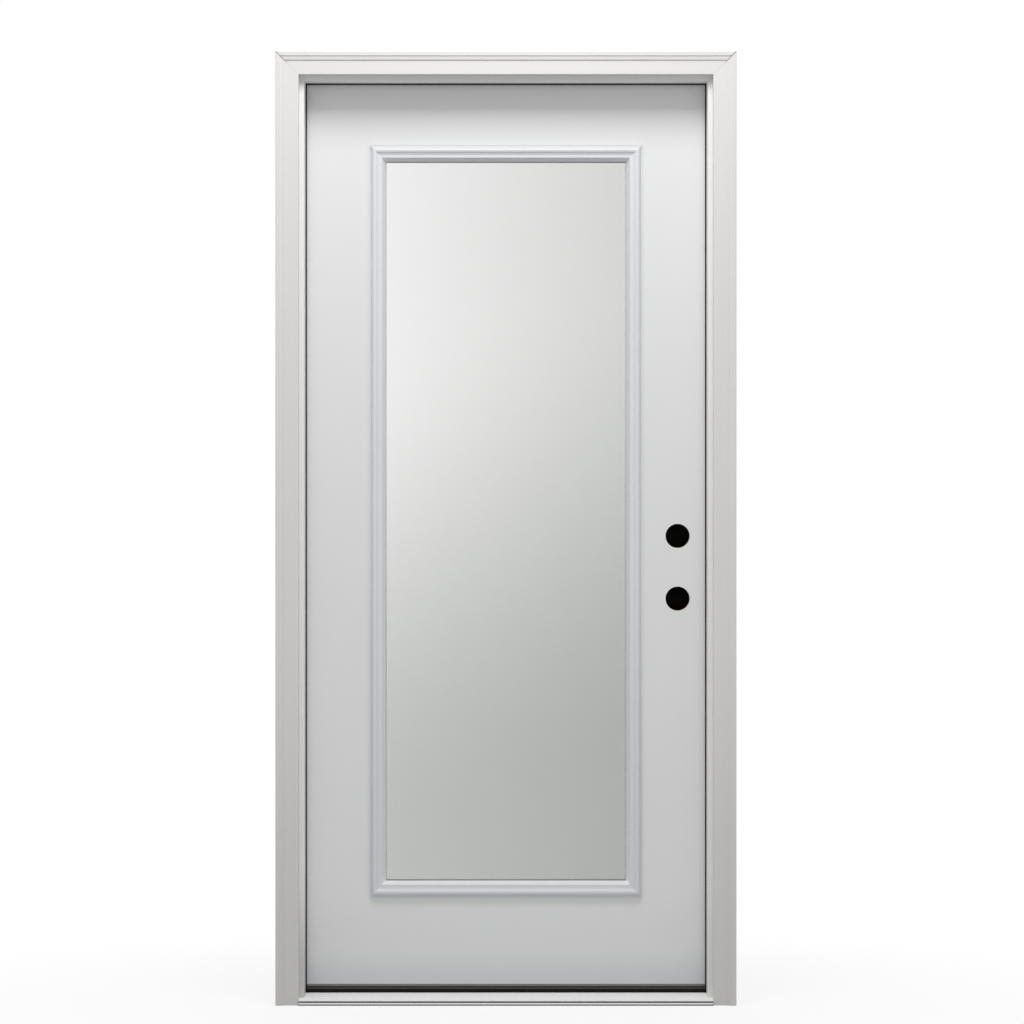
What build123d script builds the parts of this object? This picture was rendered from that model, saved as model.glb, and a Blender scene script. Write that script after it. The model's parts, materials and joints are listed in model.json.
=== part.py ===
from build123d import *
import os

# Full-lite inswing entry door, pre-hung in its frame, in millimetres.
# X runs from the hinge side (-X) to the lock side (+X), -Y is outdoors, +Y is indoors, +Z is up.
# The origin is on the underside of the sill, midway between the jambs, on the plane where the
# brickmould's back meets the outdoor edges of the jambs.

# Frame
FRAME_WIDTH = 952.5
FRAME_HEIGHT = 2071.7
JAMB_DEPTH = 115.9
JAMB_THICKNESS = 19.05
STOP_PROJECTION = 11.1
STOP_EDGE_RADIUS = 1.2
KERF_WIDTH = 3.0
KERF_DEPTH = 10.0
KERF_SETBACK = 1.0

# Brickmould, from its outer edge: a narrow flat, a quirk, a cove, a fillet, a bead, a step and
# a wide flat
CASING_WIDTH = 50.8
CASING_THICKNESS = 31.75
CASING_INNER_THICKNESS = 26.0
CASING_OUTER_FLAT = 9.2
CASING_QUIRK_DROP = 0.9
CASING_COVE_WIDTH = 5.2
CASING_COVE_DROP = 1.1
CASING_COVE_SAG = 0.5
CASING_FILLET_DROP = 0.9
CASING_WALL_LEAN = 0.4
CASING_BEAD_WIDTH = 4.0
CASING_BEAD_DROP = 0.9
CASING_BEAD_SAG = 0.7
CASING_STEP_WIDTH = 2.2
CASING_EDGE_RADIUS = 1.5

# Slab
SLAB_THICKNESS = 44.45
SLAB_BOTTOM = 37.0
SIDE_GAP = 5.0
HEAD_GAP = 5.0
LOCK_EDGE_BEVEL = 2.8
SKIN_THICKNESS = 2.0
STILE_WIDTH = 32.0
TOP_RAIL_HEIGHT = 32.0
BOTTOM_RAIL_HEIGHT = 38.0
LOCK_BLOCK_WIDTH = 86.0
LOCK_BLOCK_MARGIN = 75.0

# Lock preparation
BACKSET = 69.85
CROSS_BORE_RADIUS = 27.0
EDGE_BORE_RADIUS = 12.7
LOCKSET_HEIGHT = 895.0
BOLT_SPACING = 139.7
FACEPLATE_WIDTH = 25.4
FACEPLATE_HEIGHT = 57.15
FACEPLATE_DEPTH = 3.2
FACEPLATE_CORNER_RADIUS = 6.3
STRIKE_WIDTH = 28.6
STRIKE_RECESS_DEPTH = 1.6

# Glazing: moulded frames that clamp a sealed double pane in the slab's cut-out
LITE_SIDE_MARGIN = 147.4
LITE_TOP_MARGIN = 141.95
LITE_BOTTOM_MARGIN = 192.3
LITE_LAP = 12.7
LITE_FIT_GAP = 1.5
LITE_FACE_WIDTH = 37.3
LITE_LIP_WIDTH = 4.2
LITE_LIP_HEIGHT = 2.2
LITE_SLOPE_WIDTH = 6.0
LITE_SLOPE_SAG = 1.5
LITE_CREST_HEIGHT = 12.4
LITE_CREST_WIDTH = 3.4
LITE_CREST_SAG = 0.5
LITE_OGEE_WIDTH = 8.0
LITE_OGEE_DROP = 4.4
LITE_OGEE_SAG = 0.5
LITE_QUIRK = 0.8
LITE_FLAT_WIDTH = 7.0
LITE_FLAT_FALL = 0.6
PANE_THICKNESS = 3.2
GLASS_UNIT_THICKNESS = 25.4
GLASS_EDGE_GAP = 3.2
SPACER_WIDTH = 12.0
GLAZING_SEAL_THICKNESS = 1.0
GLAZING_SEAL_WIDTH = 12.0
GLAZING_SEAL_SETBACK = 2.0

# Hinges
HINGE_HEIGHT = 101.6
HINGE_TOP_OFFSET = 178.0
HINGE_BOTTOM_OFFSET = 279.0
HINGE_SEAT = 31.8
HINGE_CORNER_RADIUS = 15.9
LEAF_THICKNESS = 2.5
LEAF_FIT_GAP = 0.3
PIN_OFFSET = 12.7
KNUCKLE_COUNT = 5
KNUCKLE_RADIUS = 6.35
KNUCKLE_GAP = 0.5
KNUCKLE_RELIEF = 2.5
PIN_RADIUS = 3.2
PIN_CLEARANCE = 0.1
PIN_HEAD_RADIUS = 5.6
PIN_HEAD_HEIGHT = 3.6
PIN_HEAD_CHAMFER = 1.4
PIN_TIP_LENGTH = 3.0

# Sill
NOSE_PROJECTION = 31.75
NOSE_TOP = 11.0
NOSE_LIP_TOP = 6.8
NOSE_GROOVE_DEPTH = 3.2
NOSE_GROOVE_HEIGHT = 2.8
DECK_BREAK = 14.4
DECK_TOP = 18.2
DECK_THICKNESS = 2.0
SILL_BACK_HEIGHT = 24.0
CAP_TOP = 25.5
CAP_SIDE_GAP = 0.5
CAP_EDGE_RADIUS = 2.0
CAP_FRONT_SETBACK = 5.0

# Seals
SEAL_SPACE = 11.15
SEAL_CLEARANCE = 0.3
BULB_WIDTH = 14.2
BULB_ROUND = 4.5
SWEEP_CLEARANCE = 0.5
SWEEP_BASE_THICKNESS = 5.0
SWEEP_SETBACK = 1.0
SWEEP_FIN_THICKNESS = 1.6
SWEEP_FIN_COUNT = 5
SWEEP_FIN_INSET = 2.4
SWEEP_RIB_HEIGHT = 2.8
SWEEP_RIB_PROJECTION = 1.6
CORNER_SEAL_THICKNESS = 3.5
CORNER_SEAL_WIDTH = 30.0
CORNER_SEAL_HEIGHT = 55.0

# Places worked out from the sizes above
HALF_FRAME = FRAME_WIDTH / 2
HALF_OPENING = HALF_FRAME - JAMB_THICKNESS
HALF_STOP_OPENING = HALF_OPENING - STOP_PROJECTION
HEAD_RABBET = FRAME_HEIGHT - JAMB_THICKNESS
HEAD_STOP = HEAD_RABBET - STOP_PROJECTION
CASING_LAP = JAMB_THICKNESS
HALF_CASING = HALF_FRAME + CASING_WIDTH - CASING_LAP
CASING_TOP = FRAME_HEIGHT + CASING_WIDTH - CASING_LAP
SLAB_INSIDE = JAMB_DEPTH
SLAB_OUTSIDE = JAMB_DEPTH - SLAB_THICKNESS
SLAB_MIDDLE = JAMB_DEPTH - SLAB_THICKNESS / 2
STOP_DEPTH = SLAB_OUTSIDE - SEAL_SPACE
HALF_SLAB = HALF_OPENING - SIDE_GAP
SLAB_TOP = HEAD_RABBET - HEAD_GAP
CORE_OUTSIDE = SLAB_OUTSIDE + SKIN_THICKNESS
CORE_INSIDE = SLAB_INSIDE - SKIN_THICKNESS
BORE_X = HALF_SLAB - BACKSET
DEADBOLT_HEIGHT = LOCKSET_HEIGHT + BOLT_SPACING
BORE_HEIGHTS = (LOCKSET_HEIGHT, DEADBOLT_HEIGHT)
LITE_BOTTOM = SLAB_BOTTOM + LITE_BOTTOM_MARGIN
LITE_TOP = SLAB_TOP - LITE_TOP_MARGIN
LITE_HEIGHT = LITE_TOP - LITE_BOTTOM
LITE_WIDTH = 2 * (HALF_SLAB - LITE_SIDE_MARGIN)
LITE_MIDDLE = LITE_BOTTOM + LITE_HEIGHT / 2
CUTOUT_WIDTH = LITE_WIDTH - 2 * LITE_LAP
CUTOUT_HEIGHT = LITE_HEIGHT - 2 * LITE_LAP
GLASS_WIDTH = CUTOUT_WIDTH - 2 * GLASS_EDGE_GAP
GLASS_HEIGHT = CUTOUT_HEIGHT - 2 * GLASS_EDGE_GAP
GLASS_OUTSIDE = SLAB_MIDDLE - GLASS_UNIT_THICKNESS / 2
GLASS_INSIDE = SLAB_MIDDLE + GLASS_UNIT_THICKNESS / 2
LITE_LEG = GLASS_OUTSIDE - GLAZING_SEAL_THICKNESS - SLAB_OUTSIDE
PIN_X = -(HALF_OPENING - SIDE_GAP / 2)
PIN_Y = SLAB_INSIDE + PIN_OFFSET
TOP_HINGE = SLAB_TOP - HINGE_TOP_OFFSET - HINGE_HEIGHT
BOTTOM_HINGE = SLAB_BOTTOM + HINGE_BOTTOM_OFFSET
MIDDLE_HINGE = (TOP_HINGE + BOTTOM_HINGE) / 2
HINGES = {"top": TOP_HINGE, "middle": MIDDLE_HINGE, "bottom": BOTTOM_HINGE}
CAP_FRONT = STOP_DEPTH + CAP_FRONT_SETBACK
CAP_BACK = JAMB_DEPTH - DECK_THICKNESS - CAP_SIDE_GAP

OUTDOORS = Vector(0, -1, 0)
LEFT = Vector(-1, 0, 0)
RIGHT = Vector(1, 0, 0)
UP = Vector(0, 0, 1)
DOWN = Vector(0, 0, -1)


def block(x0, x1, y0, y1, z0, z1):
    """A plain box between two corners."""
    size = Box(x1 - x0, y1 - y0, z1 - z0)
    return Pos((x0 + x1) / 2, (y0 + y1) / 2, (z0 + z1) / 2) * size


def face_of(*lines):
    """A flat face bounded by lines and arcs that follow each other."""
    edges = [edge for line in lines for edge in line.edges()]
    return make_face(edges)


def standing(section, z0, z1):
    """A plan section, drawn in X and Y, raised from z0 to z1."""
    return extrude(Pos(0, 0, z0) * section, z1 - z0, dir=(0, 0, 1))


def across(section, x0, x1):
    """A side section, drawn as Y and Z, run from x0 to x1."""
    plane = Plane(origin=(x0, 0, 0), x_dir=(0, 1, 0), z_dir=(1, 0, 0))
    return extrude(plane * section, x1 - x0, dir=(1, 0, 0))


def round_hole(x, z, radius, y0, y1):
    """The cutter of a round hole along Y."""
    middle = (y0 + y1) / 2
    return Pos(x, middle, z) * Rot(90, 0, 0) * Cylinder(radius, y1 - y0)


def moulding(section, start, inward, out, length, mitred_start=True, mitred_end=True):
    """A moulding whose section has its outer back corner at start, cut at 45 degrees at its ends."""
    along = inward.cross(out)
    start = Vector(*start)
    end = start + along * length
    plane = Plane(origin=start, x_dir=inward, z_dir=along)
    bar = extrude(plane * section, length, dir=along)
    if mitred_start:
        bar = split(bar, bisect_by=Plane(origin=start, z_dir=along - inward), keep=Keep.TOP)
    if mitred_end:
        mitre = Plane(origin=end, z_dir=(along + inward) * -1)
        bar = split(bar, bisect_by=mitre, keep=Keep.TOP)
    return bar


def brickmould_section():
    """Brickmould seen along its run: X from the outer edge inwards, Y from the wall outwards."""
    flat_end = Vector(CASING_OUTER_FLAT, CASING_THICKNESS)
    cove_start = flat_end + Vector(CASING_WALL_LEAN, -CASING_QUIRK_DROP)
    cove_end = cove_start + Vector(CASING_COVE_WIDTH, -CASING_COVE_DROP)
    bead_start = cove_end + Vector(CASING_WALL_LEAN, -CASING_FILLET_DROP)
    bead_end = bead_start + Vector(CASING_BEAD_WIDTH, -CASING_BEAD_DROP)
    step_foot = Vector(bead_end.X + CASING_STEP_WIDTH, CASING_INNER_THICKNESS)
    section = face_of(
        Polyline(
            step_foot,
            (CASING_WIDTH, CASING_INNER_THICKNESS),
            (CASING_WIDTH, 0),
            (0, 0),
            (0, CASING_THICKNESS),
            flat_end,
            cove_start,
        ),
        SagittaArc(cove_start, cove_end, -CASING_COVE_SAG),
        Line(cove_end, bead_start),
        SagittaArc(bead_start, bead_end, CASING_BEAD_SAG),
        Line(bead_end, step_foot),
    )
    outer_corners = section.vertices().sort_by(Axis.Y)[-2:]
    inner_corner = section.vertices().sort_by(Axis.X)[-2:].sort_by(Axis.Y)[-1:]
    edge = outer_corners.sort_by(Axis.X)[:1] + inner_corner
    return fillet(edge, CASING_EDGE_RADIUS)


def brickmoulds():
    """The three mitred lengths of brickmould round the opening."""
    section = brickmould_section()
    head_start = (HALF_CASING, 0, CASING_TOP)
    return {
        "brickmould_left": moulding(
            section, (-HALF_CASING, 0, CASING_TOP), RIGHT, OUTDOORS, CASING_TOP, mitred_end=False
        ),
        "brickmould_right": moulding(
            section, (HALF_CASING, 0, 0), LEFT, OUTDOORS, CASING_TOP, mitred_start=False
        ),
        "brickmould_head": moulding(section, head_start, DOWN, OUTDOORS, 2 * HALF_CASING),
    }


def jamb_section():
    """A jamb in plan, from its rabbet face: X from the rabbet into the wall, Y indoors."""
    section = Polyline(
        (-STOP_PROJECTION, 0),
        (JAMB_THICKNESS, 0),
        (JAMB_THICKNESS, JAMB_DEPTH),
        (0, JAMB_DEPTH),
        (0, STOP_DEPTH),
        (-STOP_PROJECTION, STOP_DEPTH),
        close=True,
    )
    face = make_face(section.edges())
    stop_edges = face.vertices().sort_by(Axis.X)[:2]
    face = fillet(stop_edges, STOP_EDGE_RADIUS)
    kerf = Pos(-KERF_SETBACK - KERF_WIDTH / 2, STOP_DEPTH - KERF_DEPTH / 2) * Rectangle(
        KERF_WIDTH, KERF_DEPTH
    )
    return face - kerf


def side_jamb():
    """The lock-side jamb: full height at the rabbet, with its stop cut off under the head."""
    post = standing(Pos(HALF_OPENING, 0) * jamb_section(), 0, FRAME_HEIGHT)
    head_seat = block(0, HALF_OPENING, 0, JAMB_DEPTH, HEAD_STOP, FRAME_HEIGHT)
    return post - head_seat


def head_jamb():
    """The head between the side jambs, its stop running over the tops of their stops."""
    plane = Plane(origin=(-HALF_OPENING, 0, HEAD_RABBET), x_dir=(0, 0, 1), z_dir=(-1, 0, 0))
    return extrude(plane * jamb_section(), 2 * HALF_OPENING, dir=(1, 0, 0))


def leaf_seat(x0, x1, bottom, gap):
    """The outline of a hinge leaf on a door or jamb edge, rounded at its far corners."""
    front = SLAB_INSIDE - HINGE_SEAT - gap
    plate = block(x0, x1, front, SLAB_INSIDE, bottom - gap, bottom + HINGE_HEIGHT + gap)
    corners = plate.edges().filter_by(Axis.X).group_by(Axis.Y)[0]
    return fillet(corners, HINGE_CORNER_RADIUS)


def knuckle_span(bottom, index):
    """The lowest and highest point of one knuckle."""
    pitch = HINGE_HEIGHT / KNUCKLE_COUNT
    low = bottom + index * pitch + KNUCKLE_GAP / 2
    return low, low + pitch - KNUCKLE_GAP


def hinge_leaf(bottom, side, first_knuckle):
    """One leaf: a plate in the edge's mortise and its share of the knuckles.

    side is -1 for the jamb's leaf and 1 for the door's leaf.
    """
    near = PIN_X + side * SIDE_GAP / 2
    far = near + side * LEAF_THICKNESS
    x0 = min(near, far)
    x1 = max(near, far)
    leaf = leaf_seat(x0, x1, bottom, 0)
    wing_end = PIN_Y - KNUCKLE_RADIUS - KNUCKLE_RELIEF
    leaf = leaf + block(x0, x1, SLAB_INSIDE, wing_end, bottom, bottom + HINGE_HEIGHT)
    for index in range(first_knuckle, KNUCKLE_COUNT, 2):
        low, high = knuckle_span(bottom, index)
        barrel = Pos(PIN_X, PIN_Y, (low + high) / 2) * Cylinder(KNUCKLE_RADIUS, high - low)
        leaf = leaf + block(x0, x1, wing_end, PIN_Y, low, high) + barrel
    middle = bottom + HINGE_HEIGHT / 2
    bore = Pos(PIN_X, PIN_Y, middle) * Cylinder(PIN_RADIUS + PIN_CLEARANCE, HINGE_HEIGHT)
    return leaf - bore


def hinge_pin(bottom):
    """A loose pin whose head rests on the top knuckle."""
    top_knuckle = knuckle_span(bottom, KNUCKLE_COUNT - 1)[1]
    low = bottom - PIN_TIP_LENGTH
    shank = Pos(PIN_X, PIN_Y, (low + top_knuckle) / 2) * Cylinder(PIN_RADIUS, top_knuckle - low)
    head = Pos(PIN_X, PIN_Y, top_knuckle + PIN_HEAD_HEIGHT / 2) * Cylinder(
        PIN_HEAD_RADIUS, PIN_HEAD_HEIGHT
    )
    crown = head.edges().group_by(Axis.Z)[-1]
    return shank + chamfer(crown, PIN_HEAD_CHAMFER)


def slab_slice(y0, y1):
    """The slab's full outline between two depths, with its bevelled lock edge."""
    bevel_rate = LOCK_EDGE_BEVEL / SLAB_THICKNESS
    lock_edge_0 = HALF_SLAB - (SLAB_INSIDE - y0) * bevel_rate
    lock_edge_1 = HALF_SLAB - (SLAB_INSIDE - y1) * bevel_rate
    plan = Polyline(
        (-HALF_SLAB, y0),
        (lock_edge_0, y0),
        (lock_edge_1, y1),
        (-HALF_SLAB, y1),
        close=True,
    )
    return standing(make_face(plan.edges()), SLAB_BOTTOM, SLAB_TOP)


def glass_cutout():
    """The opening in the slab that the glazing goes into."""
    return block(
        -CUTOUT_WIDTH / 2,
        CUTOUT_WIDTH / 2,
        SLAB_OUTSIDE,
        SLAB_INSIDE,
        LITE_MIDDLE - CUTOUT_HEIGHT / 2,
        LITE_MIDDLE + CUTOUT_HEIGHT / 2,
    )


def cross_bores():
    """The two holes through the slab's faces for a lockset and a deadbolt."""
    bores = [
        round_hole(BORE_X, height, CROSS_BORE_RADIUS, SLAB_OUTSIDE, SLAB_INSIDE)
        for height in BORE_HEIGHTS
    ]
    return bores[0] + bores[1]


def edge_preparation():
    """Latch holes from the lock edge to the cross bores, each with a shallow faceplate recess."""
    cutters = []
    for height in BORE_HEIGHTS:
        length = HALF_SLAB - BORE_X
        hole = Rot(0, 90, 0) * Cylinder(EDGE_BORE_RADIUS, length)
        cutters.append(Pos(BORE_X + length / 2, SLAB_MIDDLE, height) * hole)
        recess_floor = HALF_SLAB - LOCK_EDGE_BEVEL / 2 - FACEPLATE_DEPTH
        recess = block(
            recess_floor,
            HALF_SLAB,
            SLAB_MIDDLE - FACEPLATE_WIDTH / 2,
            SLAB_MIDDLE + FACEPLATE_WIDTH / 2,
            height - FACEPLATE_HEIGHT / 2,
            height + FACEPLATE_HEIGHT / 2,
        )
        corners = recess.edges().filter_by(Axis.X)
        cutters.append(fillet(corners, FACEPLATE_CORNER_RADIUS))
    return cutters


def door_mortises():
    """The recesses for the three door leaves in the slab's hinge edge."""
    floor = -HALF_SLAB + LEAF_THICKNESS
    return [leaf_seat(-HALF_SLAB, floor, bottom, LEAF_FIT_GAP) for bottom in HINGES.values()]


def strike_preparation():
    """Bolt holes through the strike jamb, each inside a shallow recess for a strike plate."""
    cutters = []
    for height in BORE_HEIGHTS:
        hole = Rot(0, 90, 0) * Cylinder(EDGE_BORE_RADIUS, JAMB_THICKNESS)
        cutters.append(Pos(HALF_OPENING + JAMB_THICKNESS / 2, SLAB_MIDDLE, height) * hole)
        recess = block(
            HALF_OPENING,
            HALF_OPENING + STRIKE_RECESS_DEPTH,
            SLAB_MIDDLE - STRIKE_WIDTH / 2,
            SLAB_MIDDLE + STRIKE_WIDTH / 2,
            height - FACEPLATE_HEIGHT / 2,
            height + FACEPLATE_HEIGHT / 2,
        )
        cutters.append(fillet(recess.edges().filter_by(Axis.X), FACEPLATE_CORNER_RADIUS))
    return cutters


def skins():
    """The two moulded faces of the slab."""
    outside = slab_slice(SLAB_OUTSIDE, CORE_OUTSIDE) - glass_cutout() - cross_bores()
    inside = slab_slice(CORE_INSIDE, SLAB_INSIDE) - glass_cutout() - cross_bores()
    for mortise in door_mortises():
        inside = inside - mortise
    return {"exterior_skin": outside, "interior_skin": inside}


def slab_structure():
    """Stiles, rails, lock block and foam between the skins."""
    inner_edge = HALF_SLAB - STILE_WIDTH
    body = slab_slice(CORE_OUTSIDE, CORE_INSIDE)
    hinge_side = block(-HALF_SLAB, -inner_edge, SLAB_OUTSIDE, SLAB_INSIDE, SLAB_BOTTOM, SLAB_TOP)
    lock_side = block(inner_edge, HALF_SLAB, SLAB_OUTSIDE, SLAB_INSIDE, SLAB_BOTTOM, SLAB_TOP)
    hinge_stile = body & hinge_side
    for mortise in door_mortises():
        hinge_stile = hinge_stile - mortise
    lock_stile = body & lock_side
    rail_top = SLAB_TOP - TOP_RAIL_HEIGHT
    rail_bottom = SLAB_BOTTOM + BOTTOM_RAIL_HEIGHT
    top_rail = block(-inner_edge, inner_edge, CORE_OUTSIDE, CORE_INSIDE, rail_top, SLAB_TOP)
    bottom_rail = block(
        -inner_edge, inner_edge, CORE_OUTSIDE, CORE_INSIDE, SLAB_BOTTOM, rail_bottom
    )
    lock_block = block(
        inner_edge - LOCK_BLOCK_WIDTH,
        inner_edge,
        CORE_OUTSIDE,
        CORE_INSIDE,
        LOCKSET_HEIGHT - LOCK_BLOCK_MARGIN,
        DEADBOLT_HEIGHT + LOCK_BLOCK_MARGIN,
    )
    foam = block(-inner_edge, inner_edge, CORE_OUTSIDE, CORE_INSIDE, rail_bottom, rail_top)
    foam = foam - glass_cutout() - lock_block
    lock_block = lock_block - cross_bores()
    for cutter in edge_preparation():
        lock_stile = lock_stile - cutter
        lock_block = lock_block - cutter
    return {
        "hinge_stile": hinge_stile,
        "lock_stile": lock_stile,
        "top_rail": top_rail,
        "bottom_rail": bottom_rail,
        "lock_block": lock_block,
        "foam_core": foam,
    }


def lite_section():
    """A lite frame's section: X from its outer edge to the glass, Y out of the slab's face."""
    slope_start = Vector(LITE_LIP_WIDTH, LITE_LIP_HEIGHT)
    slope_end = Vector(LITE_LIP_WIDTH + LITE_SLOPE_WIDTH, LITE_CREST_HEIGHT)
    crest_end = slope_end + Vector(LITE_CREST_WIDTH, 0)
    ogee_middle = crest_end + Vector(LITE_OGEE_WIDTH / 2, -LITE_OGEE_DROP / 2)
    ogee_end = crest_end + Vector(LITE_OGEE_WIDTH, -LITE_OGEE_DROP)
    flat_start = ogee_end + Vector(LITE_QUIRK / 2, -LITE_QUIRK)
    flat_end = flat_start + Vector(LITE_FLAT_WIDTH, -LITE_FLAT_FALL)
    leg_outside = LITE_LAP + LITE_FIT_GAP
    return face_of(
        Polyline((leg_outside, 0), (0, 0), (0, LITE_LIP_HEIGHT), slope_start),
        SagittaArc(slope_start, slope_end, LITE_SLOPE_SAG),
        SagittaArc(slope_end, crest_end, LITE_CREST_SAG),
        SagittaArc(crest_end, ogee_middle, LITE_OGEE_SAG),
        SagittaArc(ogee_middle, ogee_end, -LITE_OGEE_SAG),
        Polyline(
            ogee_end,
            flat_start,
            flat_end,
            (LITE_FACE_WIDTH, -LITE_LEG),
            (leg_outside, -LITE_LEG),
            (leg_outside, 0),
        ),
    )


def lite_frame():
    """The outdoor lite frame: the section run round the cut-out, mitred at the corners."""
    section = lite_section()
    half_width = LITE_WIDTH / 2
    corners = {
        "left": ((-half_width, SLAB_OUTSIDE, LITE_TOP), RIGHT, LITE_HEIGHT),
        "bottom": ((-half_width, SLAB_OUTSIDE, LITE_BOTTOM), UP, LITE_WIDTH),
        "right": ((half_width, SLAB_OUTSIDE, LITE_BOTTOM), LEFT, LITE_HEIGHT),
        "top": ((half_width, SLAB_OUTSIDE, LITE_TOP), DOWN, LITE_WIDTH),
    }
    bars = [
        moulding(section, start, inward, OUTDOORS, length)
        for start, inward, length in corners.values()
    ]
    return bars[0] + bars[1] + bars[2] + bars[3]


def pane(y0, y1):
    """One sheet of glass."""
    return block(
        -GLASS_WIDTH / 2,
        GLASS_WIDTH / 2,
        y0,
        y1,
        LITE_MIDDLE - GLASS_HEIGHT / 2,
        LITE_MIDDLE + GLASS_HEIGHT / 2,
    )


def ring(half_width, half_height, width, y0, y1):
    """A flat rectangular ring round the middle of the glass."""
    outer = block(
        -half_width, half_width, y0, y1, LITE_MIDDLE - half_height, LITE_MIDDLE + half_height
    )
    inner = block(
        -half_width + width,
        half_width - width,
        y0,
        y1,
        LITE_MIDDLE - half_height + width,
        LITE_MIDDLE + half_height - width,
    )
    return outer - inner


def glazing():
    """Two panes, the spacer between them and the seals that bed them in the lite frames."""
    gap_outside = GLASS_OUTSIDE + PANE_THICKNESS
    gap_inside = GLASS_INSIDE - PANE_THICKNESS
    seal_half_width = LITE_WIDTH / 2 - LITE_FACE_WIDTH + GLAZING_SEAL_SETBACK + GLAZING_SEAL_WIDTH
    seal_half_height = LITE_HEIGHT / 2 - LITE_FACE_WIDTH + GLAZING_SEAL_SETBACK + GLAZING_SEAL_WIDTH
    seals = [
        ring(seal_half_width, seal_half_height, GLAZING_SEAL_WIDTH, y0, y0 + GLAZING_SEAL_THICKNESS)
        for y0 in (GLASS_OUTSIDE - GLAZING_SEAL_THICKNESS, GLASS_INSIDE)
    ]
    outdoor_frame = lite_frame()
    slab_centre = Plane(origin=(0, SLAB_MIDDLE, 0), z_dir=(0, 1, 0))
    return {
        "lite_frame_exterior": outdoor_frame,
        "lite_frame_interior": mirror(outdoor_frame, about=slab_centre),
        "outer_pane": pane(GLASS_OUTSIDE, gap_outside),
        "inner_pane": pane(gap_inside, GLASS_INSIDE),
        "glass_spacer": ring(
            GLASS_WIDTH / 2, GLASS_HEIGHT / 2, SPACER_WIDTH, gap_outside, gap_inside
        ),
        "glazing_seal": Compound(children=[seal.solids()[0] for seal in seals]),
    }


def sweep():
    """The strip under the slab: a base and a row of fins just above the sill cap, the first
    fin with a rib along its outdoor foot."""
    front = SLAB_OUTSIDE + SWEEP_SETBACK
    back = SLAB_INSIDE - SWEEP_SETBACK
    half_length = HALF_SLAB - LOCK_EDGE_BEVEL - SWEEP_SETBACK
    base_bottom = SLAB_BOTTOM - SWEEP_BASE_THICKNESS
    strip = block(-half_length, half_length, front, back, base_bottom, SLAB_BOTTOM)
    first_fin = front + SWEEP_FIN_INSET
    last_fin = back - SWEEP_FIN_INSET - SWEEP_FIN_THICKNESS
    pitch = (last_fin - first_fin) / (SWEEP_FIN_COUNT - 1)
    fin_bottom = CAP_TOP + SWEEP_CLEARANCE
    strip = strip + block(
        -half_length,
        half_length,
        first_fin - SWEEP_RIB_PROJECTION,
        first_fin,
        fin_bottom,
        fin_bottom + SWEEP_RIB_HEIGHT,
    )
    for index in range(SWEEP_FIN_COUNT):
        fin_front = first_fin + index * pitch
        strip = strip + block(
            -half_length,
            half_length,
            fin_front,
            fin_front + SWEEP_FIN_THICKNESS,
            fin_bottom,
            base_bottom,
        )
    return strip


def stop_notches():
    """The ends of the sill that the two stops stand in."""
    notches = [
        block(
            min(side * HALF_STOP_OPENING, side * HALF_OPENING),
            max(side * HALF_STOP_OPENING, side * HALF_OPENING),
            0,
            STOP_DEPTH,
            0,
            CAP_TOP,
        )
        for side in (-1, 1)
    ]
    return notches[0] + notches[1]


def deck_section():
    """The sill's metal deck: grooved nose, two slopes, flat under the cap, upstand indoors."""
    nose = -NOSE_PROJECTION
    groove_bottom = NOSE_LIP_TOP
    groove_top = groove_bottom + NOSE_GROOVE_HEIGHT
    groove_back = nose + NOSE_GROOVE_DEPTH
    skin = DECK_THICKNESS
    outline = Polyline(
        (nose, 0),
        (nose, groove_bottom),
        (groove_back, groove_bottom),
        (groove_back, groove_top),
        (nose, groove_top),
        (nose, NOSE_TOP),
        (0, DECK_BREAK),
        (CAP_FRONT, DECK_TOP),
        (JAMB_DEPTH - skin, DECK_TOP),
        (JAMB_DEPTH - skin, SILL_BACK_HEIGHT),
        (JAMB_DEPTH, SILL_BACK_HEIGHT),
        (JAMB_DEPTH, 0),
        (JAMB_DEPTH - skin, 0),
        (JAMB_DEPTH - skin, DECK_TOP - skin),
        (CAP_FRONT, DECK_TOP - skin),
        (0, DECK_BREAK - skin),
        (groove_back + skin, NOSE_TOP - skin),
        (groove_back + skin, groove_bottom - skin),
        (nose + skin, groove_bottom - skin),
        (nose + skin, 0),
        close=True,
    )
    return make_face(outline.edges())


def base_section():
    """The sill's substrate, filling the space under the deck."""
    skin = DECK_THICKNESS
    front = -NOSE_PROJECTION + NOSE_GROOVE_DEPTH + skin
    outline = Polyline(
        (front, 0),
        (front, NOSE_TOP - skin),
        (0, DECK_BREAK - skin),
        (CAP_FRONT, DECK_TOP - skin),
        (JAMB_DEPTH - skin, DECK_TOP - skin),
        (JAMB_DEPTH - skin, 0),
        close=True,
    )
    return make_face(outline.edges())


def sill():
    """Metal deck, substrate and adjustable cap, between the jambs and round their stops."""
    notches = stop_notches()
    cap_middle = (CAP_FRONT + CAP_BACK) / 2
    cap_section = Pos(cap_middle, (DECK_TOP + CAP_TOP) / 2) * Rectangle(
        CAP_BACK - CAP_FRONT, CAP_TOP - DECK_TOP
    )
    cap_section = fillet(cap_section.vertices().group_by(Axis.Y)[-1], CAP_EDGE_RADIUS)
    return {
        "sill_deck": across(deck_section(), -HALF_OPENING, HALF_OPENING) - notches,
        "sill_base": across(base_section(), -HALF_OPENING, HALF_OPENING) - notches,
        "sill_cap": across(cap_section, -HALF_OPENING, HALF_OPENING),
    }


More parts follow.
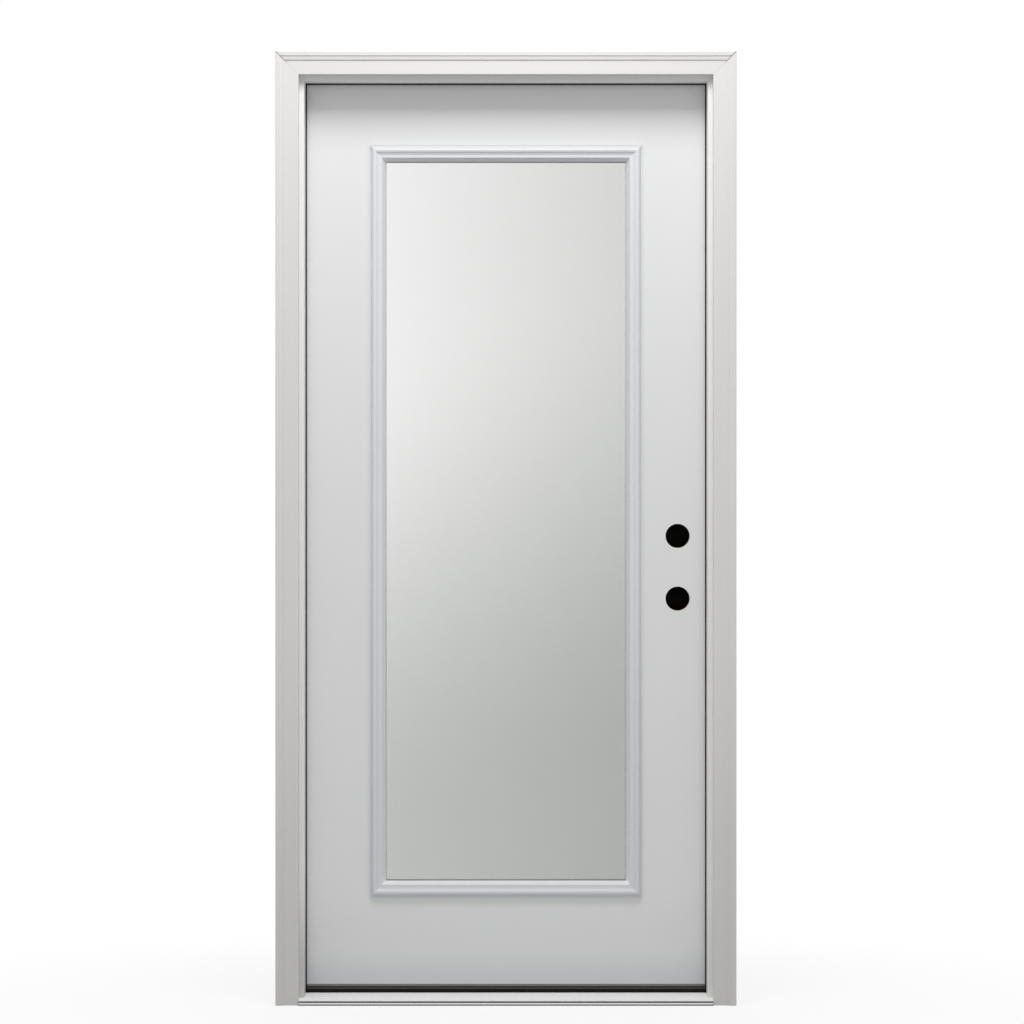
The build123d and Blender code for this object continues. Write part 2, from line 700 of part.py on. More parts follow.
def weatherstrip_section():
    """A kerf-in seal from the rabbet face: X into the opening, Y from the stop to the slab."""
    near = SEAL_CLEARANCE
    stop_side = STOP_DEPTH + SEAL_CLEARANCE
    slab_side = SLAB_OUTSIDE - SEAL_CLEARANCE
    tongue_near = KERF_SETBACK + SEAL_CLEARANCE
    tongue_far = KERF_SETBACK + KERF_WIDTH - SEAL_CLEARANCE
    tongue_end = STOP_DEPTH - KERF_DEPTH + SEAL_CLEARANCE
    round_start = BULB_WIDTH - BULB_ROUND
    return face_of(
        Polyline(
            (round_start, slab_side),
            (near, slab_side),
            (near, stop_side),
            (tongue_near, stop_side),
            (tongue_near, tongue_end),
            (tongue_far, tongue_end),
            (tongue_far, stop_side),
            (round_start, stop_side),
        ),
        ThreePointArc(
            (round_start, stop_side),
            (BULB_WIDTH, (stop_side + slab_side) / 2),
            (round_start, slab_side),
        ),
    )


def weatherstrips():
    """Three lengths of kerf-in seal: the head's, and one on each side jamb up to it."""
    section = weatherstrip_section()
    side_bottom = CAP_TOP + SEAL_CLEARANCE
    side_top = HEAD_RABBET - BULB_WIDTH - SEAL_CLEARANCE
    hinge_side = standing(Pos(-HALF_OPENING, 0) * section, side_bottom, side_top)
    strike_side = mirror(hinge_side, about=Plane.YZ)
    half_head = HALF_OPENING - SEAL_CLEARANCE
    plane = Plane(origin=(-half_head, 0, HEAD_RABBET), x_dir=(0, 0, -1), z_dir=(1, 0, 0))
    return {
        "weatherstrip_hinge_side": hinge_side,
        "weatherstrip_strike_side": strike_side,
        "weatherstrip_head": extrude(plane * section, 2 * half_head, dir=(1, 0, 0)),
    }


def corner_seals():
    """Soft pads on the jambs beside the foot of the slab."""
    bottom = CAP_TOP
    front = SLAB_MIDDLE - CORNER_SEAL_WIDTH / 2
    pad = block(
        -HALF_OPENING,
        -HALF_OPENING + CORNER_SEAL_THICKNESS,
        front,
        front + CORNER_SEAL_WIDTH,
        bottom,
        bottom + CORNER_SEAL_HEIGHT,
    )
    slope = pad.edges().filter_by(Axis.Y).group_by(Axis.Z)[-1].sort_by(Axis.X)[-1:]
    pad = chamfer(slope, CORNER_SEAL_HEIGHT / 3, CORNER_SEAL_THICKNESS * 0.8)
    return {"corner_seal_left": pad, "corner_seal_right": mirror(pad, about=Plane.YZ)}


def jambs():
    """Both side jambs and the head: leaf mortises on one side, strike recesses on the other."""
    strike_jamb = side_jamb()
    hinge_jamb = mirror(strike_jamb, about=Plane.YZ)
    for cutter in strike_preparation():
        strike_jamb = strike_jamb - cutter
    for bottom in HINGES.values():
        hinge_jamb = hinge_jamb - leaf_seat(
            -HALF_OPENING - LEAF_THICKNESS, -HALF_OPENING, bottom, LEAF_FIT_GAP
        )
    return {"strike_jamb": strike_jamb, "hinge_jamb": hinge_jamb, "head_jamb": head_jamb()}


def hinges():
    """Three butt hinges: a jamb leaf, a door leaf and a pin each."""
    parts = {}
    for name, bottom in HINGES.items():
        parts["hinge_jamb_leaf_" + name] = hinge_leaf(bottom, -1, 0)
        parts["hinge_door_leaf_" + name] = hinge_leaf(bottom, 1, 1)
        parts["hinge_pin_" + name] = hinge_pin(bottom)
    return parts


def build():
    """Every sub-part of the door unit, by name."""
    parts = {}
    parts.update(jambs())
    parts.update(brickmoulds())
    parts.update(sill())
    parts.update(weatherstrips())
    parts.update(corner_seals())
    parts.update(skins())
    parts.update(slab_structure())
    parts.update(glazing())
    parts["door_sweep"] = sweep()
    parts.update(hinges())
    return parts


os.makedirs("parts", exist_ok=True)
for node, shape in build().items():
    export_step(shape, "parts/" + node + ".step")
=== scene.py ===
import json
import math

import bmesh
import bpy
from mathutils import Matrix, Vector


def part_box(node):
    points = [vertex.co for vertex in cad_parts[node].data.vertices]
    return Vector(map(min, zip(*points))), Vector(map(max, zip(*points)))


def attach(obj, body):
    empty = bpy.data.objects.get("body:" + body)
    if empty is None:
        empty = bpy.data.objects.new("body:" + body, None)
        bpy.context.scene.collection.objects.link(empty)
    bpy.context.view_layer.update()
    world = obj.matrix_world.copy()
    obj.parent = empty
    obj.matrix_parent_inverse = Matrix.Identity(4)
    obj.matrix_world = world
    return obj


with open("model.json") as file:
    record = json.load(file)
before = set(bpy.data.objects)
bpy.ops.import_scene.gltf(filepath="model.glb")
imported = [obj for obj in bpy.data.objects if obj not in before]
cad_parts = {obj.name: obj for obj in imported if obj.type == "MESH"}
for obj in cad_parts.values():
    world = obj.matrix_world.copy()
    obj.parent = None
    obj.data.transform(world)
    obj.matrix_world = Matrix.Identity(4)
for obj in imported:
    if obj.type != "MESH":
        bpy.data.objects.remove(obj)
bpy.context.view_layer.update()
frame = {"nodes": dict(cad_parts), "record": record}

# Places on the door that the finishes and the small pieces are set from
_, CASING_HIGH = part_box("brickmould_head")
HEAD_LOW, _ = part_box("head_jamb")
LITE_LOW, LITE_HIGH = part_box("lite_frame_exterior")
INNER_LITE_LOW, INNER_LITE_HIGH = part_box("lite_frame_interior")
PANE_LOW, PANE_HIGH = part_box("outer_pane")
SKIN_LOW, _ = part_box("exterior_skin")
_, INNER_SKIN_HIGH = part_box("interior_skin")
CAP_LOW, CAP_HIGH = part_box("sill_cap")
HINGE_NAMES = ("top", "middle", "bottom")
BORES = {
    mount["name"]: Vector(mount["pos_m"])
    for mount in frame["record"]["mounts"]
    if mount["name"] in ("lockset_bore", "deadbolt_bore")
}
BORE_RADIUS = 0.027


# Material tools

# A noise stays between these two values nearly everywhere
NOISE_SWING = (0.3, 0.7)


def maths(tree, operation, *values):
    """A maths node on one or two values, each a number or another node's."""
    node = tree.nodes.new("ShaderNodeMath")
    node.operation = operation
    for socket, value in zip(node.inputs, values):
        if isinstance(value, (int, float)):
            socket.default_value = value
        else:
            tree.links.new(value, socket)
    return node.outputs["Value"]


def shade(colour, factor):
    """A colour with each channel scaled."""
    return tuple(channel * factor for channel in colour)


class Finish:
    """A material on object coordinates, built up from noise, ramps and bumps."""

    def __init__(self, name, roughness=0.5, metallic=0.0, specular=0.5):
        self.material = bpy.data.materials.new(name)
        self.material.use_nodes = True
        self.tree = self.material.node_tree
        self.shader = self.tree.nodes["Principled BSDF"]
        self.set("Roughness", roughness)
        self.set("Metallic", metallic)
        self.set("Specular IOR Level", specular)
        self.coordinates = self.tree.nodes.new("ShaderNodeTexCoord")

    def set(self, socket, value):
        self.shader.inputs[socket].default_value = value

    def link(self, output, socket):
        self.tree.links.new(output, socket)

    def place(self, scale=(1, 1, 1)):
        """Object coordinates, stretched along the axes."""
        mapping = self.tree.nodes.new("ShaderNodeMapping")
        mapping.inputs["Scale"].default_value = scale
        self.link(self.coordinates.outputs["Object"], mapping.inputs["Vector"])
        return mapping.outputs["Vector"]

    def noise(self, vector, scale, detail=3.0, roughness=0.5):
        node = self.tree.nodes.new("ShaderNodeTexNoise")
        node.inputs["Scale"].default_value = scale
        node.inputs["Detail"].default_value = detail
        node.inputs["Roughness"].default_value = roughness
        self.link(vector, node.inputs["Vector"])
        return node.outputs["Fac"]

    def spread(self, value, low_in, high_in, low_out, high_out, shape="LINEAR"):
        """A value stretched from one range to another, and held inside it."""
        node = self.tree.nodes.new("ShaderNodeMapRange")
        node.interpolation_type = shape
        node.inputs["From Min"].default_value = low_in
        node.inputs["From Max"].default_value = high_in
        node.inputs["To Min"].default_value = low_out
        node.inputs["To Max"].default_value = high_out
        self.link(value, node.inputs["Value"])
        return node.outputs["Result"]

    def maths(self, operation, *values):
        return maths(self.tree, operation, *values)

    def axes(self):
        """Object coordinates as three separate values."""
        node = self.tree.nodes.new("ShaderNodeSeparateXYZ")
        self.link(self.coordinates.outputs["Object"], node.inputs["Vector"])
        return node.outputs["X"], node.outputs["Y"], node.outputs["Z"]

    def blend(self, factor, low, high):
        """A colour between two, each a colour or another node's."""
        node = self.tree.nodes.new("ShaderNodeMix")
        node.data_type = "RGBA"
        self.link(factor, node.inputs["Factor"])
        for socket, colour in ((node.inputs["A"], low), (node.inputs["B"], high)):
            if isinstance(colour, tuple):
                socket.default_value = colour + (1.0,)
            else:
                self.link(colour, socket)
        return node.outputs["Result"]

    def paint_foot_shade(self, base, colour, low, high, factor):
        """A base colour that darkens from one height down to another, as painted shade towards the
        floor.
        """
        _, _, z = self.axes()
        unshaded = self.spread(z, low, high, 0.0, 1.0, shape="SMOOTHSTEP")
        return self.blend(unshaded, shade(colour, factor), base)

    def colour(self, output):
        self.link(output, self.shader.inputs["Base Color"])

    def roughen(self, value, low, high, swing=NOISE_SWING):
        """Roughness that follows a pattern from a low value to a high one."""
        self.link(self.spread(value, *swing, low, high), self.shader.inputs["Roughness"])

    def bump(self, height, strength, depth):
        """Fine relief in the surface from a pattern."""
        node = self.tree.nodes.new("ShaderNodeBump")
        node.inputs["Strength"].default_value = strength
        node.inputs["Distance"].default_value = depth
        self.link(height, node.inputs["Height"])
        self.link(node.outputs["Normal"], self.shader.inputs["Normal"])


# Finishes

SKIN_WHITE = (0.832, 0.838, 0.835)
CASING_WHITE = (0.765, 0.757, 0.742)
JAMB_WHITE = (0.88, 0.875, 0.87)
LITE_WHITE = (0.79, 0.80, 0.835)
# The wall beside the glass is lighter as painted light, and the top slope darker as painted shade
LITE_WALL_PAINTED_LIGHT = (0.935, 0.942, 0.965)
LITE_SLOPE_SHADE = (0.70, 0.705, 0.72)

# Painted shade that darkens the whites towards the floor: the height it starts at, and the share
# left at the foot
SKIN_SHADE_TO_FOOT = (0.28, 0.90)
RUN_SHADE_TO_FOOT = (0.9, 0.87)
HINGE_JAMB_SHADE_TO_FOOT = (0.32, 0.66)
STRIKE_JAMB_SHADE_TO_FOOT = (0.32, 0.88)
LITE_SHADE_TO_FOOT = (1.1, 0.92)

# Painted shade of its own, a cool grey, along the lowest part of the skin
SKIN_CONTACT_SHADE = (0.625, 0.632, 0.645)
SKIN_CONTACT_SHADE_TOP = 0.12


def skin_paint():
    """Smooth moulded fiberglass in satin white: a faint cloud in the colour, a fine orange peel,
    and painted shade that darkens it towards the foot."""
    finish = Finish("skin_paint", roughness=0.42, specular=0.4)
    vector = finish.place()
    cloud = finish.noise(vector, 3.5, detail=2.0)
    base = finish.blend(cloud, shade(SKIN_WHITE, 0.985), shade(SKIN_WHITE, 1.012))
    # Painted shade darkens the skin towards the foot
    base = finish.paint_foot_shade(base, SKIN_WHITE, SKIN_LOW.z, *SKIN_SHADE_TO_FOOT)
    # Painted shade along the very bottom edge of the skin
    finish.colour(finish.paint_foot_shade(base, SKIN_CONTACT_SHADE, SKIN_LOW.z, SKIN_CONTACT_SHADE_TOP, 1.0))
    speck = finish.noise(vector, 900.0, detail=2.0)
    finish.roughen(speck, 0.38, 0.48)
    peel = finish.noise(vector, 420.0, detail=2.0)
    finish.bump(peel, 0.10, 0.0004)
    return finish.material


WARM_TINT = (1.006, 0.994, 0.982)
SEAM_SHADE = 0.30


def run_paint(name, colour, along, seams=(), shade_to_foot=RUN_SHADE_TO_FOOT):
    """White paint over milled wood: faint streaks and a fine grain that run along the length, warm
    clouds, dark seams where they are given, and painted shade that darkens it towards the foot."""
    finish = Finish(name, roughness=0.5, specular=0.35)
    stretch = tuple(0.02 if axis == along else 1.0 for axis in "xyz")
    vector = finish.place(scale=stretch)
    streak = finish.noise(vector, 75.0, detail=3.0, roughness=0.6)
    streak = finish.spread(streak, *NOISE_SWING, 0.0, 1.0)
    base = finish.blend(streak, shade(colour, 0.985), shade(colour, 1.010))
    cloud = finish.noise(finish.place(), 4.0, detail=2.0)
    warm = tuple(channel * tint for channel, tint in zip(colour, WARM_TINT))
    cloud = finish.spread(cloud, 0.45, 0.7, 0.0, 0.55)
    base = finish.blend(cloud, base, warm)
    # Painted shade darkens the paint towards the foot
    base = finish.paint_foot_shade(base, colour, 0.0, *shade_to_foot)
    for seam in seams:
        base = finish.blend(seam(finish), base, shade(colour, SEAM_SHADE))
    finish.colour(base)
    grain = finish.noise(vector, 700.0, detail=3.0)
    finish.roughen(grain, 0.44, 0.58)
    finish.bump(grain, 0.16, 0.0005)
    return finish.material


# The mitre line's half width and where it has faded out, how far in from the casing's outer side
# it begins and stops opening up, and how dark it is before and after that
CASING_MITRE = CASING_HIGH.z - CASING_HIGH.x
MITRE_LINE = (0.0008, 0.0022)
MITRE_OPENS = (0.030, 0.014)
MITRE_DARKENS = (0.12, 0.85)


def casing_mitre(finish):
    """How near a point is to the 45 degree joints between the head and the side brickmoulds."""
    x, _, z = finish.axes()
    out = finish.maths("ABSOLUTE", x)
    offset = finish.maths("SUBTRACT", finish.maths("SUBTRACT", z, out), CASING_MITRE)
    near = finish.spread(finish.maths("ABSOLUTE", offset), *MITRE_LINE, 1.0, 0.0)
    begins, stops = (CASING_HIGH.x - inset for inset in MITRE_OPENS)
    open_end = finish.spread(out, begins, stops, *MITRE_DARKENS)
    return finish.maths("MULTIPLY", near, open_end)


# Where the lite frame's wall begins, in from its outer edge, and where its top slope ends, down
# from its top, each with the short way that the colours take to change
LITE_WALL = 0.0290
LITE_WALL_BLEND = 0.0005
LITE_SLOPE = 0.0110
LITE_SLOPE_BLEND = 0.002


def lite_depth(finish):
    """How far in from the outer edge of the lite frame a point is."""
    x, _, z = finish.axes()
    side = finish.maths("SUBTRACT", LITE_HIGH.x, finish.maths("ABSOLUTE", x))
    foot = finish.maths("SUBTRACT", z, LITE_LOW.z)
    head = finish.maths("SUBTRACT", LITE_HIGH.z, z)
    return finish.maths("MINIMUM", side, finish.maths("MINIMUM", foot, head))


def lite_plastic():
    """Moulded frame plastic, a cool white with a soft satin gloss, with painted light on the wall
    that meets the glass, painted shade on the top slope, and painted shade darkening it towards
    the foot."""
    finish = Finish("lite_frame_plastic", roughness=0.36, specular=0.45)
    vector = finish.place()
    cloud = finish.noise(vector, 6.0, detail=2.0)
    face = finish.blend(cloud, shade(LITE_WHITE, 0.98), shade(LITE_WHITE, 1.015))
    wall = finish.spread(lite_depth(finish), LITE_WALL, LITE_WALL + LITE_WALL_BLEND, 0.0, 1.0)
    _, _, z = finish.axes()
    slope_foot = LITE_HIGH.z - LITE_SLOPE
    slope = finish.spread(z, slope_foot, slope_foot + LITE_SLOPE_BLEND, 0.0, 1.0)
    # Painted shade on the top slope
    face = finish.blend(slope, face, LITE_SLOPE_SHADE)
    # Painted shade towards the foot
    face = finish.paint_foot_shade(face, LITE_WHITE, LITE_LOW.z, *LITE_SHADE_TO_FOOT)
    # Painted light on the wall beside the glass
    finish.colour(finish.blend(wall, face, LITE_WALL_PAINTED_LIGHT))
    matt = finish.noise(vector, 650.0, detail=2.0)
    finish.roughen(matt, 0.32, 0.42)
    finish.bump(matt, 0.06, 0.0003)
    return finish.material


# Painted shade on the glass goes from its dark colour to the clear one between two heights, which
# tilt across the door, and keeps a share of the clear one at the foot and at the lock side
GLASS_CLEAR = (0.930, 0.930, 0.928)
GLASS_SHADED = (0.343, 0.364, 0.334)
GLASS_SHADE_HEIGHTS = (0.46, 1.56)
GLASS_TILT = 0.25
GLASS_CLEAR_DOWN = 0.605
GLASS_CLEAR_OVER = 0.786


def pane_glass():
    """Clear glass with painted shade that deepens downwards and towards the lock side."""
    finish = Finish("clear_glass", roughness=0.02, specular=0.5)
    finish.set("Transmission Weight", 1.0)
    finish.set("IOR", 1.5)
    x, _, z = finish.axes()
    tilted = finish.maths("SUBTRACT", z, finish.maths("MULTIPLY", x, GLASS_TILT))
    down = finish.spread(tilted, *GLASS_SHADE_HEIGHTS, GLASS_CLEAR_DOWN, 1.0, shape="SMOOTHSTEP")
    over = finish.spread(x, PANE_LOW.x, PANE_HIGH.x, 1.0, GLASS_CLEAR_OVER)
    # Painted shade across the pane, deeper low down and towards the lock side
    finish.colour(finish.blend(finish.maths("MULTIPLY", down, over), GLASS_SHADED, GLASS_CLEAR))
    return finish.material


def rubber(name, colour, roughness=0.75, specular=0.3):
    """Foam seal, tape or soft plastic: a dull skin with fine pores."""
    finish = Finish(name, roughness=roughness, specular=specular)
    vector = finish.place()
    pores = finish.noise(vector, 900.0, detail=3.0)
    finish.colour(finish.blend(pores, shade(colour, 0.7), shade(colour, 1.35)))
    finish.roughen(pores, roughness - 0.1, roughness + 0.1)
    finish.bump(pores, 0.25, 0.0004)
    return finish.material


# Heights between which the sweep goes from its grey rib to its fins, and from them to its base;
# the fins' near-black is partly painted shade in the recess between the rib and the base
RIB_EDGE = (0.0288, 0.0292)
BASE_EDGE = (0.0314, 0.0320)
RIB_GREY = (0.120, 0.106, 0.102)
FIN_SHADE = (0.014, 0.012, 0.012)


def sweep_vinyl():
    """A stiff grey base with soft black fins, their black deepened as painted shade in the recess,
    and a greyer rib along the first fin.
    """
    finish = Finish("sweep_vinyl", roughness=0.6, specular=0.3)
    _, _, z = finish.axes()
    over_rib = finish.spread(z, *RIB_EDGE, 0.0, 1.0)
    over_fins = finish.spread(z, *BASE_EDGE, 0.0, 1.0)
    # The fins' black is partly painted shade in their recess
    fins = finish.blend(over_rib, RIB_GREY, FIN_SHADE)
    pores = finish.noise(finish.place(), 900.0, detail=3.0)
    base = finish.blend(pores, (0.20, 0.192, 0.186), (0.24, 0.230, 0.223))
    finish.colour(finish.blend(over_fins, fins, base))
    finish.roughen(pores, 0.5, 0.7)
    finish.bump(pores, 0.2, 0.0004)
    return finish.material


# Heights on the sill's nose where one colour goes over into the next: below the groove, above it,
# and at the top of the nose's foot, and the painted shade in the groove and along the foot
GROOVE_BOTTOM = (0.0064, 0.0068)
GROOVE_TOP = (0.0096, 0.0100)
NOSE_FOOT = (0.0024, 0.0036)
GROOVE_SHADE = (0.10, 0.10, 0.105)
NOSE_FOOT_SHADE = (0.20, 0.205, 0.23)


def sill_aluminium():
    """Mill-finish extrusion: bright, with fine draw lines along it, and painted shade in the
    nose's groove and along its foot."""
    finish = Finish("mill_aluminium", roughness=0.55, metallic=0.1, specular=0.04)
    lines = finish.noise(finish.place(scale=(0.01, 1.0, 1.0)), 1400.0, detail=3.0)
    bright = finish.blend(lines, (0.965, 0.965, 0.97), (0.99, 0.99, 1.0))
    _, _, z = finish.axes()
    over = finish.spread(z, *GROOVE_BOTTOM, 0.0, 1.0)
    under = finish.spread(z, *GROOVE_TOP, 1.0, 0.0)
    # Painted shade in the nose's groove
    groove_shaded = finish.blend(finish.maths("MULTIPLY", over, under), bright, GROOVE_SHADE)
    foot = finish.spread(z, *NOSE_FOOT, 1.0, 0.0)
    # Painted shade along the nose's foot
    finish.colour(finish.blend(foot, groove_shaded, NOSE_FOOT_SHADE))
    finish.roughen(lines, 0.48, 0.62)
    finish.bump(lines, 0.10, 0.0003)
    return finish.material


def satin_steel():
    """Satin nickel plate, brushed across the leaf."""
    finish = Finish("hinge_steel", roughness=0.32, metallic=1.0)
    vector = finish.place(scale=(1.0, 0.03, 1.0))
    brush = finish.noise(vector, 1600.0, detail=3.0)
    finish.colour(finish.blend(brush, (0.60, 0.59, 0.57), (0.72, 0.71, 0.69)))
    finish.roughen(brush, 0.26, 0.42)
    finish.bump(brush, 0.10, 0.0002)
    return finish.material


def spacer_metal():
    """Rolled metal spacer bar with a fine mottle."""
    finish = Finish("spacer_metal", roughness=0.4, metallic=0.9)
    mottle = finish.noise(finish.place(), 500.0, detail=2.0)
    finish.colour(finish.blend(mottle, (0.62, 0.63, 0.64), (0.74, 0.75, 0.76)))
    finish.bump(mottle, 0.1, 0.0002)
    return finish.material


def raw_wood():
    """Sawn softwood with upright grain, seen inside the bores."""
    finish = Finish("block_wood", roughness=0.75, specular=0.25)
    vector = finish.place(scale=(1.0, 1.0, 0.06))
    rings = finish.noise(vector, 160.0, detail=4.0, roughness=0.6)
    rings = finish.spread(rings, *NOISE_SWING, 0.0, 1.0)
    finish.colour(finish.blend(rings, (0.50, 0.34, 0.20), (0.72, 0.56, 0.38)))
    finish.bump(rings, 0.3, 0.0006)
    return finish.material


def rigid_foam():
    """Poured foam with small closed cells."""
    finish = Finish("foam", roughness=0.85, specular=0.2)
    cells = finish.noise(finish.place(), 700.0, detail=3.0)
    finish.colour(finish.blend(cells, (0.72, 0.64, 0.42), (0.86, 0.80, 0.62)))
    finish.bump(cells, 0.4, 0.0006)
    return finish.material


def composite(name, colour, specular=0.35):
    """Dark wood-plastic composite: flecks drawn along the length."""
    finish = Finish(name, roughness=0.6, specular=specular)
    vector = finish.place(scale=(0.08, 1.0, 1.0))
    fleck = finish.noise(vector, 420.0, detail=4.0, roughness=0.65)
    fleck = finish.spread(fleck, 0.35, 0.7, 0.0, 1.0)
    finish.colour(finish.blend(fleck, shade(colour, 0.75), shade(colour, 1.5)))
    finish.roughen(fleck, 0.52, 0.7, swing=(0.0, 1.0))
    finish.bump(fleck, 0.2, 0.0004)
    return finish.material


def dress_nodes():
    """Gives every node its own finish where there is one, or else its material slot's."""
    finishes = {
        # Painted shade at each side jamb's foot, deeper on the hinge side
        "hinge_jamb": run_paint("hinge_jamb_paint", JAMB_WHITE, "z", shade_to_foot=HINGE_JAMB_SHADE_TO_FOOT),
        "strike_jamb": run_paint("strike_jamb_paint", JAMB_WHITE, "z", shade_to_foot=STRIKE_JAMB_SHADE_TO_FOOT),
        "head_jamb": run_paint("head_jamb_paint", JAMB_WHITE, "x"),
        "brickmould_paint": run_paint("brickmould_paint", CASING_WHITE, "z", [casing_mitre]),
        "brickmould_head": run_paint("head_brickmould_paint", CASING_WHITE, "x", [casing_mitre]),
        "skin_paint": skin_paint(),
        "edge_paint": run_paint("edge_paint", SKIN_WHITE, "z"),
        "block_wood": raw_wood(),
        "foam": rigid_foam(),
        "lite_frame_plastic": lite_plastic(),
        "clear_glass": pane_glass(),
        "spacer_metal": spacer_metal(),
        "black_rubber": rubber("black_rubber", (0.012, 0.012, 0.013)),
        "glazing_seal": rubber("glazing_tape", (0.42, 0.42, 0.43)),
        # Painted shade: a black cover stands in for the dark inside the bores
        "bore_shade_cover": rubber("cover_plastic", (0.003, 0.003, 0.003), specular=0.06),
        "sweep_vinyl": sweep_vinyl(),
        "mill_aluminium": sill_aluminium(),
        "sill_composite": composite("sill_composite", (0.14, 0.10, 0.075)),
        "cap_composite": composite("cap_composite", (0.010, 0.0075, 0.0055), specular=0.08),
        "hinge_steel": satin_steel(),
    }
    for entry in frame["record"]["subparts"]:
        node = entry["node"]
        finish = finishes.get(node) or finishes[entry["material_slot"]]
        for slot in frame["nodes"][node].material_slots:
            slot.material = finish
    return finishes


# Small pieces

def new_piece(name, mesh, body, material):
    """Turns a bmesh into a piece at the origin that rides on a body."""
    bmesh.ops.recalc_face_normals(mesh, faces=mesh.faces)
    data = bpy.data.meshes.new(name)
    mesh.to_mesh(data)
    mesh.free()
    piece = bpy.data.objects.new(name, data)
    bpy.context.scene.collection.objects.link(piece)
    data.materials.append(material)
    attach(piece, body)


def copy_to(mesh, shape, place, direction):
    """Adds a copy of a shape to a mesh, its origin at place and its +Z along direction."""
    known = len(mesh.verts)
    mesh.from_mesh(shape)
    mesh.verts.ensure_lookup_table()
    turn = Vector(direction).to_track_quat("Z", "Y").to_matrix().to_4x4()
    bmesh.ops.transform(mesh, matrix=Matrix.Translation(place) @ turn, verts=mesh.verts[known:])


def shape_of(mesh, name):
    """Keeps a bmesh as mesh data to copy from."""
    data = bpy.data.meshes.new(name)
    mesh.to_mesh(data)
    mesh.free()
    return data


def turned_shape(name, profile, steps):
    """A round shape turned about Z from a profile of radius and height."""
    mesh = bmesh.new()
    verts = [mesh.verts.new((radius, 0.0, height)) for radius, height in profile]
    edges = [mesh.edges.new(pair) for pair in zip(verts, verts[1:])]
    bmesh.ops.spin(
        mesh, geom=verts + edges, cent=(0, 0, 0), axis=(0, 0, 1), dvec=(0, 0, 0),
        angle=math.tau, steps=steps, use_merge=True, use_normal_flip=False, use_duplicate=False,
    )
    bmesh.ops.remove_doubles(mesh, verts=mesh.verts, dist=0.00001)
    return shape_of(mesh, name)


SCREW_SIDES = 12
SCREW_RADIUS = 0.0046
SCREW_THICKNESS = 0.0008
SCREW_DOME = 0.0003
SCREW_DOME_WIDTH = SCREW_RADIUS * 0.3
SCREW_FLAT_WIDTH = SCREW_RADIUS * 0.1
RECESS_REACH = 0.0024
RECESS_HALF_WIDTH = 0.0006
RECESS_DEPTH = 0.0014
RECESS_TAPER = RECESS_HALF_WIDTH * 0.4


def screw_shape():
    """A flush screw head with a cross recess: its rim at the origin's height, facing +Z."""
    mesh = bmesh.new()
    bmesh.ops.create_cone(
        mesh, cap_ends=True, cap_tris=False, segments=SCREW_SIDES, depth=SCREW_THICKNESS,
        radius1=SCREW_RADIUS, radius2=SCREW_RADIUS,
    )
    half_step = Matrix.Rotation(math.tau / (2 * SCREW_SIDES), 3, "Z")
    bmesh.ops.rotate(mesh, verts=mesh.verts, matrix=half_step, cent=(0, 0, 0))
    bmesh.ops.translate(mesh, verts=mesh.verts, vec=(0, 0, -SCREW_THICKNESS / 2))
    top = max(mesh.faces, key=lambda face: face.calc_center_median().z)
    bmesh.ops.inset_region(mesh, faces=[top], thickness=SCREW_DOME_WIDTH, depth=SCREW_DOME)
    bmesh.ops.inset_region(mesh, faces=[top], thickness=SCREW_FLAT_WIDTH)
    # The inner face's twelve corners become those of a cross
    for vert in top.verts:
        x, y = abs(vert.co.x), abs(vert.co.y)
        corner = max(x, y) < 2 * min(x, y)
        reach_x = RECESS_HALF_WIDTH if corner or x < y else RECESS_REACH
        reach_y = RECESS_HALF_WIDTH if corner or y < x else RECESS_REACH
        vert.co.x = math.copysign(reach_x, vert.co.x)
        vert.co.y = math.copysign(reach_y, vert.co.y)
    bmesh.ops.inset_region(mesh, faces=[top], thickness=RECESS_TAPER, depth=-RECESS_DEPTH)
    return shape_of(mesh, "screw")


# Hinge screws stand in a zigzag on each leaf, from its middle: along the leaf, then up
LEAF_SCREWS = ((-0.0075, 0.037), (0.0045, 0.0125), (0.0045, -0.0125), (-0.0075, -0.037))
LEAF_MIDDLE = 0.0165


def hinge_screws(screw, material):
    """Four flush screws in each leaf, on the face that shows when the door is open."""
    # The head jamb's end stands on the hinge jamb's face, and the skin ends at the slab's edge
    for leaf, body, face, outward in (
        ("jamb", "frame", HEAD_LOW.x, 1),
        ("door", "door", SKIN_LOW.x, -1),
    ):
        mesh = bmesh.new()
        for name in HINGE_NAMES:
            low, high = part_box("hinge_%s_leaf_%s" % (leaf, name))
            for along, up in LEAF_SCREWS:
                place = Vector((face, low.y + LEAF_MIDDLE + along, (low.z + high.z) / 2 + up))
                copy_to(mesh, screw, place, (outward, 0, 0))
        new_piece("%s_leaf_screws" % leaf, mesh, body, material)


# Cap screws raise and lower the sill cap: their places along it
CAP_SCREWS = (-0.36, -0.12, 0.12, 0.36)


def cap_screws(screw, material):
    """The adjusting screws along the middle of the sill cap."""
    mesh = bmesh.new()
    middle = (CAP_LOW.y + CAP_HIGH.y) / 2
    for x in CAP_SCREWS:
        copy_to(mesh, screw, Vector((x, middle, CAP_HIGH.z)), (0, 0, 1))
    new_piece("cap_screws", mesh, "frame", material)


# A plug's dome is drawn in shares of its radius and of how proud it stands
PLUG_SIDES = 16
PLUG_RADIUS = 0.0030
PLUG_PROUD = 0.0007
PLUG_DOME = ((0.0, 1.0), (0.6, 0.85), (0.92, 0.4), (1.0, 0.0))
PLUG_SUNK = 0.0006
PLUG_INSET = 0.0255
PLUG_SEAT = 0.0069
PLUG_CORNER_SPACE = 0.06
PLUG_COUNT_UP = 8
PLUG_COUNT_ACROSS = 3


def spaced(low, high, count):
    """Places from low to high at even steps."""
    return [low + (high - low) * index / (count - 1) for index in range(count)]


